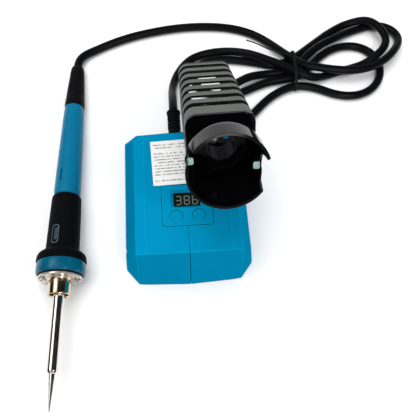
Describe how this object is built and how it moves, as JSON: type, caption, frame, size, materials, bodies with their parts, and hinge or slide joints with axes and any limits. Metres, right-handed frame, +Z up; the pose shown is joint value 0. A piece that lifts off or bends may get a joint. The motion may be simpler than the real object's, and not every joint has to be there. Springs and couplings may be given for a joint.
{
  "type": "soldering iron",
  "caption": "Cordless-battery soldering station with display and keys, slotted holder with flared mouth, and a pencil iron on a bundled cord.",
  "frame": {"origin": "centre of the station's underside, in the plane of the table, on the centre line of the battery slide", "axes": "+X to the right of the key panel, +Y to the back, the way the battery slides out, +Z up; the iron lies along Y on the left"},
  "size_m": [0.2808, 0.2873, 0.1244],
  "materials": {
    "teal_shell": "fine-textured teal ABS",
    "teal_gloss": "smooth teal plastic",
    "black_plastic": "satin black",
    "black_gloss": "glossy black heat-resistant plastic",
    "grip_black": "matt soft-touch black",
    "rubber": "matt black rubber",
    "cord_jacket": "satin black cord jacket",
    "steel": "stainless",
    "nickel": "warm nickel plate",
    "screw_zinc": "zinc plated",
    "contact_brass": "bare contact strip",
    "board_green": "solder-masked board",
    "component_black": "moulded component bodies",
    "display_dark": "smoked display face",
    "segment_white": "pale display segments",
    "ceramic_rod": "unglazed",
    "label_paper": "white paper"
  },
  "bodies": {
    "station": {"top_shell": "teal_shell", "bottom_cover": "black_plastic", "cover_screws": "screw_zinc", "control_board": "board_green", "board_parts": "component_black", "board_screws": "screw_zinc", "display_module": "display_dark", "display_digits": "segment_white", "key_switches": "component_black", "contact_block": "black_plastic", "contact_blades": "contact_brass", "strain_relief": "rubber", "info_label": "label_paper", "holder_bracket": "black_plastic", "bracket_screws": "screw_zinc", "cage_screws": "screw_zinc", "holder_cage": "black_plastic", "cage_front_plate": "black_gloss", "cage_back_plate": "black_plastic", "holder_mouth": "black_gloss", "neck_sleeve": "steel", "side_clips": "steel", "cord": "cord_jacket", "cord_tie": "black_plastic"},
    "iron": {"tip": "steel", "barrel": "steel", "heater_rod": "ceramic_rod", "collar_plate": "nickel", "plate_screws": "screw_zinc", "front_ring": "teal_gloss", "grip": "grip_black", "handle": "teal_gloss", "lead_board": "board_green", "boot": "rubber"},
    "button_up": {"button_up": "teal_shell"},
    "button_down": {"button_down": "teal_shell"}
  },
  "joints": [
    {"name": "iron_lift", "type": "slide", "parent": "station", "child": "iron", "axis": [0, 0, 1], "range_m": [0, 0.03]},
    {"name": "button_up_press", "type": "slide", "parent": "station", "child": "button_up", "axis": [0, 0, -1], "range_m": [0, 0.0006], "stiffness_N_per_m": 700, "springref_m": -0.0006},
    {"name": "button_down_press", "type": "slide", "parent": "station", "child": "button_down", "axis": [0, 0, -1], "range_m": [0, 0.0006], "stiffness_N_per_m": 700, "springref_m": -0.0006}
  ]
}
